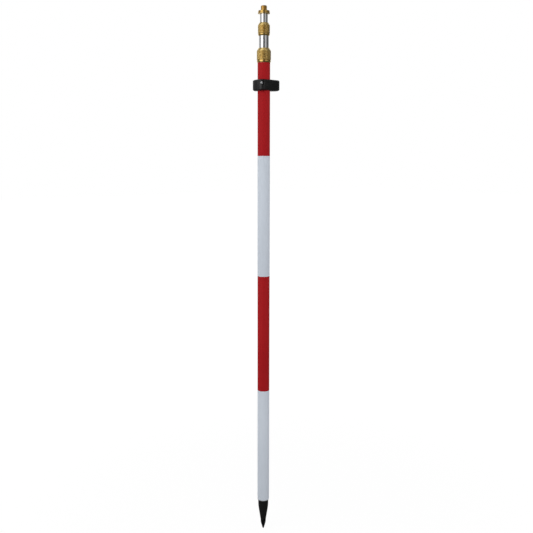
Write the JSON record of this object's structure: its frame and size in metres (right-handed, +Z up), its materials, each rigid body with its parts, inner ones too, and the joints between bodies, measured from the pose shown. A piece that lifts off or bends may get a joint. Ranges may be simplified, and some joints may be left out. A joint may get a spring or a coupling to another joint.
{
  "type": "prism pole",
  "caption": "Telescoping survey pole with red and white foot bands, brass twist locks, a steel point, a clamp-on circular level and a 5/8-11 head stud for a prism or antenna.",
  "frame": {"origin": "centre of the small flat on the foot point's tip, where the pole touches the ground", "axes": "+Z up along the pole's axis to the head stud, +X from the pole's axis towards the circular level, +Y by the right-hand rule"},
  "size_m": [0.0681, 0.044, 1.3612],
  "materials": {
    "tube_metal": "satin drawn tube",
    "sliding_metal": "polished",
    "red_sleeve": "smooth semi-gloss film",
    "white_sleeve": "smooth semi-gloss film",
    "lock_brass": "knurled barrel, polished crown",
    "head_brass": "turned and polished",
    "point_plastic": "satin moulded",
    "point_steel": "black oxide steel",
    "bracket_plastic": "satin moulded",
    "case_metal": "black anodised",
    "vial_glass": "clear, domed",
    "vial_fluid": "yellow-green fluid",
    "screw_steel": "zinc-plated",
    "nylon": "natural nylon",
    "pad_rubber": "matt"
  },
  "bodies": {
    "lower_section": {"outer_tube": "tube_metal", "white_band_lower": "white_sleeve", "red_band_lower": "red_sleeve", "white_band_upper": "white_sleeve", "red_band_upper": "red_sleeve", "point_tip": "point_steel", "point_cone": "point_plastic", "foot_plug": "tube_metal", "landing_pad": "pad_rubber", "lower_lock_body": "lock_brass"},
    "lower_collet": {"lower_lock_collet": "nylon"},
    "lower_nut": {"lower_lock_nut": "lock_brass"},
    "middle_section": {"middle_tube": "sliding_metal", "middle_guide_bush": "nylon", "middle_floor_plug": "nylon", "upper_lock_body": "lock_brass"},
    "upper_collet": {"upper_lock_collet": "nylon"},
    "upper_nut": {"upper_lock_nut": "lock_brass"},
    "inner_section": {"inner_tube": "sliding_metal", "inner_guide_bush": "nylon", "head_plug": "tube_metal", "head_adapter": "head_brass"},
    "level_bracket": {"vial_bracket": "bracket_plastic", "clamp_nut": "screw_steel", "vial_case": "case_metal", "vial_glass": "vial_glass", "vial_fluid": "vial_fluid", "vial_cushion": "pad_rubber"},
    "clamp_washer": {"clamp_washer": "screw_steel"},
    "clamp_screw": {"clamp_screw": "screw_steel"},
    "vial_screw_1": {"vial_screw_1": "screw_steel"},
    "vial_screw_2": {"vial_screw_2": "screw_steel"},
    "vial_screw_3": {"vial_screw_3": "screw_steel"}
  },
  "joints": [
    {"name": "middle_slide", "type": "slide", "parent": "lower_section", "child": "middle_section", "axis": [0, 0, 1], "range_m": [0, 1]},
    {"name": "inner_slide", "type": "slide", "parent": "middle_section", "child": "inner_section", "axis": [0, 0, 1], "range_m": [0, 1.04]},
    {"name": "lower_collet_lift", "type": "slide", "parent": "lower_section", "child": "lower_collet", "axis": [0, 0, 1], "range_m": [0, 0.00151]},
    {"name": "lower_nut_turn", "type": "hinge", "parent": "lower_collet", "child": "lower_nut", "pos_m": [0, 0, 1.2483], "axis": [0, 0, 1], "range_deg": [0, 270]},
    {"name": "upper_collet_lift", "type": "slide", "parent": "middle_section", "child": "upper_collet", "axis": [0, 0, 1], "range_m": [0, 0.00151]},
    {"name": "upper_nut_turn", "type": "hinge", "parent": "upper_collet", "child": "upper_nut", "pos_m": [0, 0, 1.3072], "axis": [0, 0, 1], "range_deg": [0, 270]},
    {"name": "bracket_swivel", "type": "hinge", "parent": "lower_section", "child": "level_bracket", "pos_m": [0, 0, 1.1743], "axis": [0, 0, 1], "continuous": true},
    {"name": "clamp_washer_lift", "type": "slide", "parent": "level_bracket", "child": "clamp_washer", "axis": [0, -1, 0], "range_m": [0, 0.001]},
    {"name": "clamp_screw_turn", "type": "hinge", "parent": "clamp_washer", "child": "clamp_screw", "pos_m": [-0.0184, 0, 1.1772], "axis": [0, -1, 0], "range_deg": [0, 725]},
    {"name": "vial_screw_1_turn", "type": "hinge", "parent": "level_bracket", "child": "vial_screw_1", "pos_m": [0.0348, 0.00831, 1.175], "axis": [0, 0, 1], "range_deg": [-180, 180]},
    {"name": "vial_screw_2_turn", "type": "hinge", "parent": "level_bracket", "child": "vial_screw_2", "pos_m": [0.0204, 0, 1.175], "axis": [0, 0, 1], "range_deg": [-180, 180]},
    {"name": "vial_screw_3_turn", "type": "hinge", "parent": "level_bracket", "child": "vial_screw_3", "pos_m": [0.0348, -0.00831, 1.175], "axis": [0, 0, 1], "range_deg": [-180, 180]}
  ],
  "couplings": [
    {"joint": "lower_collet_lift", "follows": "lower_nut_turn", "m_per_rad": 0.00031831},
    {"joint": "upper_collet_lift", "follows": "upper_nut_turn", "m_per_rad": 0.00031831},
    {"joint": "clamp_screw_turn", "follows": "clamp_washer_lift", "rad_per_m": 12566}
  ]
}
